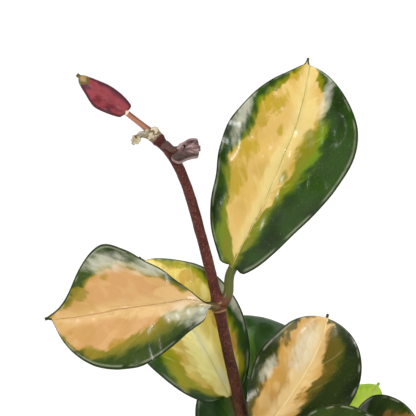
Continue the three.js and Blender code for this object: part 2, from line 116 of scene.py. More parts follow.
# Leaves with a form of their own. node is the place in the stem's path where the leaf grows, base and
# tip are the ends of its blade, and face is the way that its upper side looks. left and right are
# half-widths from base to tip. arch and bend bow the midrib, fold and cup are the rise and the turn of
# each half in degrees, and lobe is how far each half reaches back past the base, as a share of the
# length. cusp is the length of the drip tip, rib how far the midrib's line lies to the right of the
# middle, ripple the height of the blade's waves and their shortest and longest length, and radius the
# petiole's. cream and band are the edges of the pale middle and of the olive band round it, as
# distances from the midrib at ten equal steps from base to tip, on the left and on the right. Without
# them, share is the part of the blade's width that is pale.
LEAVES = {
    "leaf_upright": {
        "node": 9, "palette": "upright", "face": (-0.25, -1, 0.25), "radius": 1.7,
        "base": (-17.6, -1.5, 218), "tip": (8.8, 4, 291.3), "cusp": 4, "arch": 0.03, "bend": 0.045,
        "left": (14.5, 19.6, 21, 21, 22.6, 23.3, 22.2, 19.4, 8.5),
        "right": (14, 16.1, 22.6, 28.1, 24.3), "lobe": (0.035, 0.035),
        "fold": (14, 14), "cup": (-30, -35), "rib": (0, 0, 0.6, 2, 1.2),
        "cream": (
            (0.6, 4.5, 8.5, 12, 15.5, 16.5, 13.5, 12.5, 10, 5, 1),
            (0, -0.2, 0.3, 1.8, 4, 6.2, 5.8, 8.2, 10, 6.5, 1),
        ),
        "band": (
            (2, 9, 11, 13.5, 18, 17.5, 14.5, 13.2, 12.5, 5.8, 1.4),
            (0.3, 1.4, 2.6, 4.2, 6.4, 9.6, 12.6, 13, 10.8, 7.4, 1.4),
        ),
    },
    "leaf_left": {
        "node": 9, "palette": "left", "face": (0.1, -1, 0.5), "radius": 1.4,
        "base": (-25.2, -6, 205.7), "tip": (-81.5, -28, 205.6), "cusp": 4, "arch": 0.05, "bend": 0.03,
        "left": (14.5, 14, 17, 20, 22.4, 23.8, 25.4, 27.3, 29),
        "right": (1.5, 7, 11.3, 15.2, 19.4, 22.8, 18.2, 8, 1), "lobe": (0, 0),
        "cup": (-20, -10), "rib": (0, 1.4, 0.3, -0.6, -1.2, -1.7, -2, -1.6, -1),
        "cream": (
            (0.5, 1.5, 3, 5.6, 9.5, 12, 13.2, 14.5, 14.2, 11, 1),
            (1, 3, 5.5, 8, 10.6, 13.6, 14, 10.5, 5.4, 2, 1),
        ),
        "band": (
            (0.6, 3, 7.4, 11.5, 14.2, 16, 17, 17.2, 15.6, 11.4, 1.4),
            (1.5, 4, 6.8, 9.4, 11.8, 14.6, 14.8, 11.6, 6.4, 2.8, 1.4),
        ),
    },
    "leaf_behind_stem": {
        "node": 6, "palette": "yellow", "face": (0, -1, 0.4), "bend": 0.03,
        "base": (-18.5, 4, 170.2), "tip": (-51, 24, 216.8), "cusp": 4,
        "left": (19.5, 19.7, 20.8, 18, 6), "right": (17, 18.3, 19.4, 18.2, 11),
        "cream": (
            (1, 6, 9.5, 10.5, 9.5, 12, 13, 11, 9, 6, 1),
            (1.5, 6.5, 9.5, 10.8, 12, 12.2, 12.5, 11, 8.6, 3.2, 0.6),
        ),
        "band": (
            (2, 8.5, 12.5, 14, 14.5, 15, 15, 13.5, 10.5, 7, 1.4),
            (2, 7.5, 10.5, 12.5, 13, 13.2, 13.8, 13.2, 10.8, 5.2, 1),
        ),
    },
    "leaf_right": {
        "node": 6, "palette": "tan", "face": (0, -1, 0.3), "bend": 0.05,
        "base": (-7.1, -10, 160), "tip": (16.7, 6, 199.7), "cusp": 2.5,
        "left": (17, 17, 17.8, 17.3, 20), "right": (16, 17.5, 20, 21.2, 22.5),
        "rib": (0, 0, 0.5, 0.8, 0.4),
        "cream": (
            (1.5, 7, 9, 11, 12, 10.5, 12, 11.5, 10.5, 7.5, 2),
            (1, 3, 4, 4.6, 5, 5.4, 5.6, 4.6, 3.2, 2.2, 1),
        ),
        "band": (
            (3, 10, 11.5, 12.5, 13.5, 13, 13, 12.5, 11.5, 8.5, 2.4),
            (2, 4, 5, 5.6, 6.5, 8, 9.6, 9.8, 9, 4.5, 1.4),
        ),
    },
    "leaf_front": {
        "node": 4, "palette": "green", "face": (-0.35, -0.8, 0.7), "share": 0.3,
        "base": (-3, -19, 141), "tip": (36, -48, 172), "cusp": 3,
        "left": (20, 22, 21, 18, 12), "right": (15, 17, 18, 17, 12),
    },
    "leaf_low_left": {
        "node": 4, "palette": "plain", "face": (0.3, -1, 0.2), "share": 0.2,
        "base": (-13, 10, 131), "tip": (-22, 17, 183), "cusp": 4,
        "left": (11, 13, 14.5, 13.5, 10), "right": (12, 14, 15, 14, 9),
    },
    "leaf_far_right": {
        "stem": "back_right", "node": 4, "palette": "orange", "face": (-0.5, -0.8, 0.5), "share": 0.42,
        "base": (27.5, 14, 136.5), "tip": (48.5, -8, 165.5), "cusp": 3,
        "left": (16, 19, 20, 20, 18), "right": (16, 19, 20, 20, 16),
    },
    "leaf_young_lime": {
        "stem": "back_right", "node": 6, "palette": "lime", "face": (-0.4, -1, 0.2), "share": 0.5,
        "base": (26.8, 24, 154), "tip": (36.7, 26, 169.5), "cusp": 2,
        "left": (6, 7, 7.5, 7.5, 5), "right": (6, 7, 7, 7, 5),
    },
    "leaf_plain_back": {
        "stem": "back", "node": 5, "palette": "plain", "face": (0.1, -1, 0.4), "share": 0.15,
        "base": (-8.5, 20, 159), "tip": (-15, 38, 194), "cusp": 4, "arch": 0.1,
        "left": (15, 17, 18, 17, 12), "right": (18, 20, 21, 22, 17),
    },
    "leaf_young_red": {
        "node": 15, "palette": "red", "face": (0.2, -1, 0.3), "radius": 1, "at_end": True,
        "base": (-53.9, 0, 272.6), "tip": (-71.4, 0, 286), "cusp": 2, "arch": 0.04,
        "lobe": (0.06, 0.11), "left": (4.8, 5.3, 6, 4.6, 4.4), "right": (4.6, 4.2, 3.6, 2.8, 2.4),
        "fold": (18, 18), "cup": (-10, -10), "ripple": (0.12, 4, 12),
        "cream": ((-4, -4, -4, -4, -4, -4, -4, -4, 0.2, 1.8, -1.5),) * 2,
        "band": ((-4, -4, -4, -4, -4, -4, -4, -3, 1.4, 3, 3),) * 2,
    },
    "dried_leaf_mauve": {
        "node": 14.2, "palette": "mauve", "face": (0.1, -1, 0.35), "radius": 1.2, "share": 0.5,
        "base": (-36.8, -4.9, 260.6), "tip": (-28.6, -5.2, 260.9), "cusp": 0.8, "arch": 0.05,
        "lobe": (0, 0.45), "left": (1.5, 1.9, 3.3, 4.4, 7), "right": (6, 6.5, 4.6, 4.8, 8.5),
        "fold": (20, 10), "cup": (25, 30), "ripple": (0.4, 2, 6),
    },
    "dried_leaf_cream": {
        "node": 14.9, "palette": "dried", "face": (0, -1, 0.5), "radius": 1.05, "share": 0.5,
        "base": (-50.1, -3.6, 265), "tip": (-52.2, -3.5, 262), "cusp": 0.8, "arch": 0.1,
        "lobe": (0, 0), "left": (1.7, 1.6, 1.5, 1.9, 2.3), "right": (1.6, 1.8, 1.5, 1.7, 2.2),
        "fold": (10, 10), "cup": (-10, -10), "ripple": (0.25, 1.2, 3),
    },
}

# Patches on a leaf, of each colour: the two ends across from the midrib in millimetres, then the two
# ends along it as shares of the blade's length. olive is the band's colour. The silvery patches are
# partly the leaf's own silvery flecks and partly painted highlight, where its gloss catches the lamps.
PATCH_COLOURS = ("gold", "olive", "pale", "silver_and_highlight")
PATCHES = {
    "leaf_upright": {
        "gold": (
            (-18, -8, 0.49, 0.59), (-14.5, -9, 0.6, 0.9), (-4.6, -1.6, 0.61, 0.71), (-10, -8, 0.64, 0.7),
            (-17.5, -8.5, 0.26, 0.5), (-6.5, 0.2, 0.87, 1), (-8.5, -3, 0.72, 0.85),
        ),
        "olive": ((5, 11.5, 0.52, 0.7), (2, 5, 0.42, 0.5)),
        "pale": ((3, 8, 0.62, 0.86), (-3.4, 0.6, 0.02, 0.62), (-1.6, 1.2, 0.6, 0.72)),
        "silver_and_highlight": ((-21, -15, 0.5, 0.9), (7.5, 12, 0.72, 0.96)),
    },
    "leaf_left": {
        "gold": (
            (-16.5, -12, 0.46, 0.68), (-8.4, -5.6, 0.86, 0.91), (8, 12, 0.6, 0.66), (12, 15, 0.42, 0.56),
        ),
        "olive": ((-17.5, -12.5, 0.74, 0.86), (2.6, 8.4, 0.73, 0.84)),
        "pale": ((1, 6, 0.04, 0.34), (-7, -1, 0.2, 0.56)),
        "silver_and_highlight": (
            (-10, 3, -0.4, 0.34), (-7.5, -3, 0.14, 0.34), (9, 16, 0.2, 0.5), (11, 19.5, 0.46, 0.76),
        ),
    },
    "leaf_behind_stem": {
        "gold": ((5, 12, 0.67, 0.77), (4, 9.6, 0.8, 0.88), (7, 13, 0.2, 0.5)),
        "olive": ((-15, -11, 0.12, 0.36), (8, 12, 0.78, 0.86)),
        "pale": ((-3, 2.6, 0.05, 0.6), (-6, -1, 0.08, 0.56)),
        "silver_and_highlight": ((15.4, 19.5, 0.3, 0.66), (-1.8, 1.6, 0.24, 0.47), (-0.6, 2.4, 0.05, 0.2)),
    },
    "leaf_right": {
        "gold": ((1.6, 4.4, 0.3, 0.46), (1.6, 4.4, 0.8, 0.92)),
        "olive": (
            (-12, -7.6, 0.62, 0.74), (-12.5, -8.8, 0.45, 0.51), (3, 9.4, 0.71, 0.83), (5.6, 9.4, 0.56, 0.7),
        ),
        "pale": ((-4, 0.8, 0.16, 0.9), (-16, -11, 0.12, 0.6)),
        "silver_and_highlight": ((-8, 0.6, 0.44, 0.96), (-14, -9, 0.3, 0.56)),
    },
}

# A pale silvery grey: the leaf's own silvery flecks, and also painted highlight of its gloss.
SILVER_AND_HIGHLIGHT = (212, 210, 188)
VEIN_SPACING = 6.4  # of the side veins

# The other leaves follow one rule: each leaves its node the way that azimuth says (0 is +X, 90 is +Y),
# its blade rises by rise degrees and rolls by roll degrees about its midrib. For each stem: node,
# azimuth, rise, length, roll, palette.
FOLIAGE = {
    "right": (
        (3, -122, 4, 66, -10, "cream"), (3, 48, 10, 64, 8, "green"), (5, -38, 6, 68, 6, "cream"),
        (7, 62, 22, 58, 4, "cream"), (7, -112, 2, 62, -6, "green"),
    ),
    "back_right": (
        (3, 32, 2, 64, 8, "cream"), (4, 98, 10, 62, 0, "green"), (6, 216, 2, 16, 0, "lime"),
    ),
    "front_left": (
        (4, -52, 6, 62, 8, "cream"), (4, 136, 0, 58, -8, "green"), (6, -88, 2, 60, 6, "cream"),
        (6, 158, 14, 58, -10, "cream"), (8, -70, -28, 56, 0, "green"), (8, 132, -24, 56, 0, "cream"),
    ),
    "front": (
        (4, -12, 6, 58, -4, "green"), (5, 188, 4, 60, 6, "cream"), (7, -38, -34, 54, 0, "cream"),
        (7, 216, -38, 52, 0, "green"),
    ),
    "back": (
        (3, 160, 4, 64, -6, "green"), (5, 100, -10, 60, 0, "cream"),
    ),
    "back_left": (
        (4, 96, -6, 60, 8, "cream"), (4, -104, 26, 50, 0, "green"), (6, 192, -4, 58, 0, "cream"),
        (6, 112, -14, 54, 6, "green"),
    ),
}
FIRST_RULED_SEED = 20
RULED_LEAF = USUAL_LEAF | {"arch": 0.07, "bend": 0.015, "cup": (-28, -28)}
RULED_HALF_WIDTHS = (15, 17, 18, 17, 9)  # of a blade that is RULED_LENGTH long
RULED_LENGTH = 66
RULED_SHARES = {"cream": 0.66, "green": 0.22, "lime": 0.5}
PETIOLE_LENGTH = 10
PETIOLE_RISE = 25  # in degrees, more than the blade's
SMALL_LEAF = 30  # the length below which a leaf's petiole is half as long

# ---------------------------------------------------------------- vector helpers


def unit(vectors):
    vectors = np.asarray(vectors, float)
    return vectors / np.linalg.norm(vectors, axis=-1, keepdims=True)


def square_to(vectors, axis):
    """The part of the vectors that is square to a unit axis, as unit vectors."""
    vectors = np.asarray(vectors, float)
    return unit(vectors - (vectors * axis).sum(-1, keepdims=True) * axis)


def heading(azimuth, rise):
    """A unit way, from degrees: azimuth 0 is +X and 90 is +Y, rise 90 is up."""
    turn, lean = math.radians(azimuth), math.radians(rise)
    return np.array([math.cos(turn) * math.cos(lean), math.sin(turn) * math.cos(lean), math.sin(lean)])


def spokes(first, second, angles):
    """For each pair of directions, the ways at angles from the first toward the second."""
    return first[:, None] * np.cos(angles)[:, None] + second[:, None] * np.sin(angles)[:, None]


def turned(vector, axis, angle):
    """A vector turned about a unit axis."""
    crossed = np.cross(axis, vector)
    along = axis * (axis @ vector)
    return vector * math.cos(angle) + crossed * math.sin(angle) + along * (1 - math.cos(angle))


def smooth_through(values, x):
    """A smooth curve through evenly spaced values or points, for x from 0 to 1."""
    values = np.asarray(values, float)
    last = len(values) - 1
    i = np.clip(np.floor(x * last).astype(int), 0, last - 1)
    t = x * last - i
    p0, p1, p2, p3 = (values[np.clip(i + k, 0, last)] for k in (-1, 0, 1, 2))
    if values.ndim > 1:
        t = t[..., None]
    cubic = 2 * p0 - 5 * p1 + 4 * p2 - p3 + t * (3 * (p1 - p2) + p3 - p0)
    return p1 + 0.5 * t * (p2 - p0 + t * cubic)


def through_points(points, x):
    """A smooth curve through points that runs straight on at its two ends."""
    points = np.asarray(points, float)
    ends = (2 * points[0] - points[1], 2 * points[-1] - points[-2])
    padded = np.vstack([ends[0], points, ends[1]])
    last = len(points) - 1
    return smooth_through(padded, (1 + np.asarray(x, float) * last) / (last + 2))


def smoothstep(x, low, high):
    t = np.clip((x - low) / (high - low), 0, 1)
    return t * t * (3 - 2 * t)


def bell(distance):
    """1 at no distance, and smoothly down to 0 past about 2."""
    return np.exp(-(distance**2))


def waves(seed, x, y, shortest, longest, count=7):
    """A smooth random height between about -1 and 1, as a sum of waves."""
    random = np.random.default_rng(seed)
    total = 0
    for length in np.geomspace(shortest, longest, count):
        turn, phase = random.uniform(0, 2 * math.pi, 2)
        ahead = x * math.cos(turn) + y * math.sin(turn)
        total = total + np.sin(ahead * 2 * math.pi / length + phase)
    return total / math.sqrt(count)


def round_angles(count):
    return np.linspace(0, 2 * math.pi, count, endpoint=False)


def circles(radius, angle, level):
    """Points on level circles round +Z."""
    return np.stack([radius * np.cos(angle), radius * np.sin(angle), level + 0 * angle], -1)


# ---------------------------------------------------------------- meshes


def in_scene(name, data):
    """A new object with this data, in the scene."""
    thing = bpy.data.objects.new(name, data)
    bpy.context.scene.collection.objects.link(thing)
    return thing


def add_piece(name, node, points, faces, material, vectors=None):
    """One piece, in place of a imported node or, with node None, beside them.

    points are in millimetres, vectors are mesh attributes.
    """
    mesh = bpy.data.meshes.new(name)
    mesh.from_pydata(np.asarray(points, float) * MM, [], faces)
    mesh.validate()
    for key, values in (vectors or {}).items():
        layer = mesh.attributes.new(key, "FLOAT_VECTOR", "POINT")
        layer.data.foreach_set("vector", np.asarray(values, np.float32).ravel())
    mesh.shade_smooth()
    mesh.materials.append(material)
    piece = in_scene(name, mesh)
    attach(piece, BODY)
    if node:
        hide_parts(node)


def loft_faces(rings, count):
    """Quads between closed rings of points, with a fan to the two middle points that follow them."""
    faces = []
    middle = rings * count
    last = middle - count
    for first in range(0, last, count):
        for i in range(count):
            after = (i + 1) % count
            faces.append((first + i, first + after, first + after + count, first + i + count))
    for i in range(count):
        after = (i + 1) % count
        faces.append((middle, after, i))
        faces.append((middle + 1, last + i, last + after))
    return faces


def ring_values(values):
    """Values at each point of the rings, with those of the two middle points after them."""
    middles = np.stack([values[0].mean(0), values[-1].mean(0)])
    return np.vstack([values.reshape(-1, 3), middles])


def add_body(name, rings, material, measures=None):
    """A closed body through rings, an array of ring x point x 3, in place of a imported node.

    measures are mesh attributes by name, of three values at each point of the rings.
    """
    vectors = {
        key: ring_values(np.stack(np.broadcast_arrays(*values), -1))
        for key, values in (measures or {}).items()
    }
    faces = loft_faces(*rings.shape[:2])
    add_piece(f"fine_{name}", name, ring_values(rings), faces, material, vectors)


# ---------------------------------------------------------------- shaders


def srgb(colour):
    """A colour given as 0 to 255 on screen, as the shader's linear value."""
    values = [value / 255 for value in colour]
    return (*(v / 12.92 if v <= 0.04045 else ((v + 0.055) / 1.055) ** 2.4 for v in values), 1)


class Shader:
    """A Principled material whose nodes are made by short calls. A value is a node's output or a
    number, a colour is a node's output or three numbers, 0 to 255 on screen."""

    def __init__(self, name, **sockets):
        self.material = bpy.data.materials.new(name)
        self.material.use_nodes = True
        self.tree = self.material.node_tree
        self.surface = self.tree.nodes["Principled BSDF"]
        self.fill(self.surface, sockets)

    def put(self, socket, value):
        """Links a node's output to an input socket, or sets the socket's own value."""
        if isinstance(value, bpy.types.NodeSocket):
            self.tree.links.new(value, socket)
        else:
            socket.default_value = value

    def fill(self, node, values):
        """Puts values in a node's inputs by name, with _ for a space."""
        for key, value in values.items():
            self.put(node.inputs[key.replace("_", " ")], value)

    def node(self, kind, **values):
        node = self.tree.nodes.new(f"ShaderNode{kind}")
        self.fill(node, values)
        return node

    def attribute(self, name):
        node = self.node("Attribute")
        node.attribute_name = name
        return node.outputs["Vector"]

    def position(self):
        return self.node("TexCoord").outputs["Object"]

    def parts(self, vector):
        return self.node("SeparateXYZ", Vector=vector).outputs

    def math(self, operation, *values):
        node = self.node("Math")
        node.operation = operation
        for socket, value in zip(node.inputs, values):
            self.put(socket, value)
        return node.outputs[0]

    def plus(self, first, second):
        return self.math("ADD", first, second)

    def size_of(self, value):
        return self.math("ABSOLUTE", value)

    def linear(self, value, slope, start):
        return self.math("MULTIPLY_ADD", value, slope, start)

    def times(self, product, *values):
        for value in values:
            product = self.math("MULTIPLY", product, value)
        return product

    def uneven(self, value, noise, reach):
        """The value, moved up or down by a noise over a reach."""
        return self.plus(value, self.linear(noise, reach, -reach / 2))

    def between(self, value, low, high):
        """0 below low and 1 above high, smooth between; low may be the larger."""
        node = self.node("MapRange", Value=value, From_Min=low, From_Max=high)
        node.interpolation_type = "SMOOTHSTEP"
        return node.outputs[0]

    def noise(self, vector, scale, detail=2.0, roughness=0.5):
        values = {"Vector": vector, "Scale": scale, "Detail": detail, "Roughness": roughness}
        return self.node("TexNoise", **values).outputs["Fac"]

    def stretched(self, vector, scales, detail, roughness=0.5, scale=1):
        """A noise with scales of its own along the vector's three parts."""
        node = self.node("VectorMath")
        node.operation = "MULTIPLY"
        self.put(node.inputs[0], vector)
        self.put(node.inputs[1], scales)
        return self.noise(node.outputs[0], scale, detail, roughness)

    def cells(self, vector, scale):
        return self.node("TexVoronoi", Vector=vector, Scale=scale).outputs["Distance"]

    def mix(self, factor, first, second):
        """The first colour at a factor of 0, the second at 1."""
        node = self.node("Mix")
        node.data_type = "RGBA"
        sockets = {socket.identifier: socket for socket in (*node.inputs, *node.outputs)}
        self.put(sockets["Factor_Float"], factor)
        for key, colour in (("A_Color", first), ("B_Color", second)):
            self.put(sockets[key], srgb(colour) if isinstance(colour, tuple) else colour)
        return sockets["Result_Color"]

    def over(self, surface, colour, value, low, high, share=1):
        """A surface with a colour over it where a value goes from low to high, up to a share."""
        return self.mix(self.times(self.between(value, low, high), share), surface, colour)

    def layers(self, surface, *rows):
        """A surface with colours over it, one after the other; a row is what over() takes."""
        for row in rows:
            surface = self.over(surface, *row)
        return surface

    def bump(self, height, distance, strength=1.0, **after):
        """A normal for a height map that is distance millimetres high."""
        node = self.node("Bump", Height=height, Distance=distance * MM, Strength=strength, **after)
        return node.outputs[0]

    def finish(self, colour, **values):
        self.fill(self.surface, {"Base Color": colour, **values})
        return self.material


# ---------------------------------------------------------------- leaf material

# Colours as on screen, for each of TONES. pale lies by the midrib and peach outside it, gold in patches
# at the edge of the pale middle. band and lime make the strip between the middle and the green, green
# and deep the rest of the upper face. under is the lower face.
TONES = ("pale", "peach", "gold", "band", "lime", "green", "deep", "rib", "petiole", "under")
PALETTES = {
    "upright": (
        (218, 196, 126), (206, 170, 94), (172, 144, 30), (122, 120, 12), (100, 132, 10),
        (40, 68, 10), (26, 44, 6), (130, 120, 40), (94, 98, 42), (140, 150, 84),
    ),
    "left": (
        (206, 170, 114), (194, 148, 96), (160, 128, 44), (134, 118, 36), (96, 102, 36),
        (56, 72, 28), (28, 44, 14), (150, 104, 50), (116, 92, 56), (140, 146, 88),
    ),
    "yellow": (
        (244, 236, 158), (216, 194, 98), (186, 146, 50), (156, 150, 28), (120, 136, 26),
        (44, 76, 18), (22, 44, 12), (206, 196, 104), (82, 86, 36), (140, 148, 84),
    ),
    "tan": (
        (216, 186, 130), (188, 146, 76), (148, 108, 36), (94, 80, 22), (76, 78, 20),
        (38, 50, 14), (24, 34, 10), (240, 218, 164), (104, 94, 44), (130, 134, 80),
    ),
    "cream": (
        (232, 206, 132), (220, 180, 110), (192, 160, 52), (136, 130, 28), (110, 134, 28),
        (54, 82, 22), (34, 52, 16), (180, 156, 76), (108, 96, 48), (140, 148, 86),
    ),
    "green": (
        (206, 190, 104), (190, 166, 80), (144, 134, 40), (96, 110, 28), (80, 108, 28),
        (44, 64, 20), (34, 48, 16), (98, 114, 54), (88, 84, 42), (104, 126, 74),
    ),
    "orange": (
        (150, 112, 56), (128, 92, 42), (104, 80, 30), (76, 68, 20), (60, 70, 20),
        (46, 66, 20), (36, 50, 16), (144, 116, 56), (88, 84, 42), (104, 120, 70),
    ),
    "plain": (
        (88, 122, 48), (76, 110, 42), (70, 104, 40), (60, 94, 36), (58, 94, 36),
        (48, 82, 32), (38, 66, 28), (98, 128, 66), (82, 94, 42), (96, 124, 74),
    ),
    "lime": (
        (212, 236, 106), (198, 228, 86), (190, 222, 74), (182, 218, 68), (178, 216, 64),
        (166, 206, 58), (148, 192, 50), (204, 224, 124), (140, 150, 60), (164, 196, 90),
    ),
}


def leaf_material(name):
    """A waxy leaf: a pale middle, an olive band and green margins with ragged edges along the veins."""
    tone = dict(zip(TONES, PALETTES[name]))
    leaf = Shader(f"leaf_{name}", Specular_IOR_Level=0.16, Coat_Weight=0.12, Coat_Roughness=0.12)
    cream, band, edge = leaf.parts(leaf.attribute("zone"))
    rib, station, under = leaf.parts(leaf.attribute("place"))
    gold, olive, pale = leaf.parts(leaf.attribute("patch"))
    silver_and_highlight = leaf.parts(leaf.attribute("silver_and_highlight"))[0]
    vein = leaf.attribute("vein")
    across = leaf.parts(vein)[0]
    streaks = leaf.stretched(vein, (1 / 5, 1 / 13, 1), 2)
    flecks = leaf.stretched(vein, (1 / 1.5, 1 / 4, 1), 3)
    blotches = leaf.stretched(vein, (1 / 3.4, 1 / 8, 3), 1)
    clouds = leaf.stretched(vein, (1 / 9, 1 / 14, 2), 2)
    into_cream = leaf.uneven(leaf.uneven(cream, streaks, 7), flecks, 3)
    into_band = leaf.uneven(leaf.uneven(band, blotches, 5), flecks, 3)

    def patched(surface, amount, colour, share):
        spread = leaf.uneven(leaf.uneven(amount, streaks, 2.4), flecks, 1.6)
        spread = leaf.times(spread, leaf.between(amount, 0.0, 0.3))
        return leaf.over(surface, colour, spread, 0.1, 0.8, share)

    greens = leaf.layers(
        tone["deep"],
        (tone["green"], clouds, 0.36, 0.62),
        (tone["green"], leaf.linear(blotches, 5, band), -1.6, 1.6, 0.7),
    )
    bands = leaf.layers(
        tone["lime"],
        (tone["band"], leaf.linear(blotches, 4, cream), -3.6, 1.6),
        (tone["lime"], flecks, 0.4, 0.6, 0.3),
    )
    creams = leaf.layers(
        tone["peach"],
        (tone["pale"], leaf.size_of(rib), 5, 0.5),
        (tone["gold"], leaf.linear(blotches, 5, into_cream), 3.6, 2.2, 0.75),
        (tone["peach"], flecks, 0.35, 0.65, 0.3),
        (tone["gold"], clouds, 0.46, 0.64, 0.28),
        (tone["pale"], blotches, 0.52, 0.68, 0.4),
    )
    creams = patched(creams, pale, tone["pale"], 0.8)
    creams = patched(creams, gold, tone["gold"], 0.85)

    surface = leaf.layers(greens, (bands, into_band, -1.8, 1.2), (creams, into_cream, -0.6, 0.5))
    surface = patched(surface, olive, tone["band"], 0.8)
    off_vein = leaf.math("PINGPONG", leaf.linear(streaks, 4, across), VEIN_SPACING / 2)
    veins = leaf.times(leaf.between(off_vein, 0.5, 0.1), leaf.between(into_band, -1, 3))
    veins = leaf.times(veins, leaf.between(flecks, 0.4, 0.6), 0.16)
    surface = leaf.mix(veins, surface, tone["pale"])
    surface = leaf.over(surface, SILVER_AND_HIGHLIGHT, leaf.stretched(vein, (2.4, 1.8, 1), 1), 0.62, 0.8, 0.08)
    # painted highlight: the silvery patches whiten the leaf where its gloss shines, over its own silvery
    # flecks
    flecked = leaf.between(leaf.plus(silver_and_highlight, leaf.linear(flecks, 1.5, -0.85)), -0.1, 1.05)
    surface = leaf.mix(leaf.times(flecked, leaf.between(silver_and_highlight, 0.0, 0.5), 0.6), surface, SILVER_AND_HIGHLIGHT)
    midrib = leaf.between(leaf.size_of(rib), 0.3, 0.1)
    surface = leaf.mix(leaf.times(midrib, leaf.between(streaks, 0.36, 0.5), 0.6), surface, tone["rib"])
    # painted highlight: a pale glint line just inside the margin
    glint = leaf.times(leaf.between(edge, 0.3, 0.7), leaf.between(edge, 1.5, 0.8))
    surface = leaf.mix(leaf.times(glint, leaf.between(blotches, 0.4, 0.6), 0.24), surface, SILVER_AND_HIGHLIGHT)
    surface = leaf.over(surface, tone["deep"], edge, 0.5, 0.1)
    surface = leaf.mix(leaf.times(under, 0.7), surface, tone["under"])
    stalk = leaf.layers(
        tone["petiole"],
        (tone["deep"], flecks, 0.35, 0.65, 0.6),
        ((100, 64, 42), station, -0.6, -0.9),
    )
    surface = leaf.over(surface, stalk, station, 0.02, -0.02)

    grain = leaf.stretched(vein, (1.1, 0.7, 1), 2)
    quilting = leaf.bump(leaf.stretched(vein, (1 / 5, 1 / 18, 5), 1), 0.4, 0.42)
    normal = leaf.bump(grain, 0.1, 0.7, Normal=quilting)
    roughness = leaf.linear(under, 0.22, leaf.linear(grain, 0.16, 0.14))
    return leaf.finish(surface, Roughness=roughness, Normal=normal)


# Dark blotches of the young leaf: distance across from its midrib, share of its length, size.
RED_BLOTCHES = ((3.0, 0.62, 2.4), (-1.6, 0.78, 2.0), (-3.6, 0.3, 1.4))


def red_material():
    """The young leaf: crimson with a painted pink highlight along its middle, slaty at one margin, with
    dark blotches, an olive tip and a pink stalk.
    """
    leaf = Shader("leaf_red", Specular_IOR_Level=0.2, Coat_Weight=0.06, Coat_Roughness=0.2)
    cream, band, edge = leaf.parts(leaf.attribute("zone"))
    rib, station = leaf.parts(leaf.attribute("place"))[:2]
    vein = leaf.attribute("vein")
    clouds = leaf.stretched(vein, (1 / 2.2, 1 / 4, 1), 3)
    streaks = leaf.stretched(vein, (1 / 0.5, 1 / 3, 1), 2)
    colour = leaf.layers(
        (104, 34, 40),
        ((138, 54, 62), clouds, 0.35, 0.65),
        # painted highlight: pinker along the middle, just right of the midrib
        ((156, 68, 74), leaf.size_of(leaf.plus(rib, -0.6)), 2.2, 0.4, 0.5),
        ((54, 40, 50), leaf.plus(rib, clouds), 2.2, 3.8, 0.85),
    )
    for across, along, size in RED_BLOTCHES:
        off = leaf.size_of(leaf.plus(rib, -across))
        ahead = leaf.size_of(leaf.plus(station, -along))
        colour = leaf.over(colour, (58, 34, 48), leaf.linear(ahead, 14, off), size, size * 0.3, 0.75)
    colour = leaf.layers(
        colour,
        ((74, 26, 34), edge, 0.7, 0.1),
        ((96, 84, 36), leaf.plus(band, clouds), 0.2, 1.2),
        ((176, 142, 96), leaf.plus(cream, clouds), 0.6, 2, 0.85),
        ((60, 60, 36), station, 0.96, 1.0),
        ((232, 214, 190), leaf.linear(leaf.size_of(rib), 0.02, station), 0.06, 0.03),
        (leaf.over((112, 58, 40), (186, 130, 102), streaks, 0.4, 0.6), station, 0.005, -0.02),
    )
    roughness = leaf.linear(clouds, 0.2, 0.28)
    return leaf.finish(colour, Roughness=roughness, Normal=leaf.bump(streaks, 0.25, 0.6))


def dried_material(name, dark, middle, pale, spots, stalk):
    """A shrivelled leaf: painted highlight in streaks on its wrinkles along the middle, painted shade that
    darkens it toward a thin pale edge, spotted.
    """
    leaf = Shader(name, Specular_IOR_Level=0.2)
    edge = leaf.parts(leaf.attribute("zone"))[2]
    rib, station = leaf.parts(leaf.attribute("place"))[:2]
    vein = leaf.attribute("vein")
    wrinkles = leaf.stretched(vein, (1 / 0.8, 1 / 4, 1), 3, 0.6)
    clouds = leaf.stretched(vein, (1 / 1.4, 1 / 1.8, 1), 2)
    off = leaf.uneven(leaf.size_of(leaf.plus(rib, 0.3)), clouds, 3)
    # painted shade: darker away from the middle, as in the leaf's curls
    colour = leaf.over(dark, middle, off, 2.6, 1.2)
    # painted highlight on the top of each wrinkle near the middle
    highlit_crests = leaf.times(leaf.between(wrinkles, 0.44, 0.62), leaf.between(off, 2.8, 0.8))
    colour = leaf.mix(highlit_crests, colour, pale)
    colour = leaf.layers(
        colour,
        (spots, clouds, 0.36, 0.3),
        (pale, edge, 0.2, 0.0, 0.5),
        (spots, station, 0.9, 1.0),
        (leaf.over(spots, stalk, wrinkles, 0.4, 0.6), leaf.linear(clouds, 0.3, station), 0.26, 0.16),
    )
    roughness = leaf.linear(wrinkles, 0.3, 0.35)
    return leaf.finish(colour, Roughness=roughness, Normal=leaf.bump(wrinkles, 0.7))


# ---------------------------------------------------------------- stems

NODE_SWELLING = 0.34  # of a stem's radius
NODE_LENGTH = 3
COLLAR_RISE = 0.12  # of a stem's radius, at COLLAR_DISTANCE on each side of a node
COLLAR_DISTANCE = 1.6
COLLAR_WIDTH = 0.5
STEM_UNEVENNESS = 0.035  # of a stem's radius
ROUNDED_LENGTH = 1.6  # of a stem's end


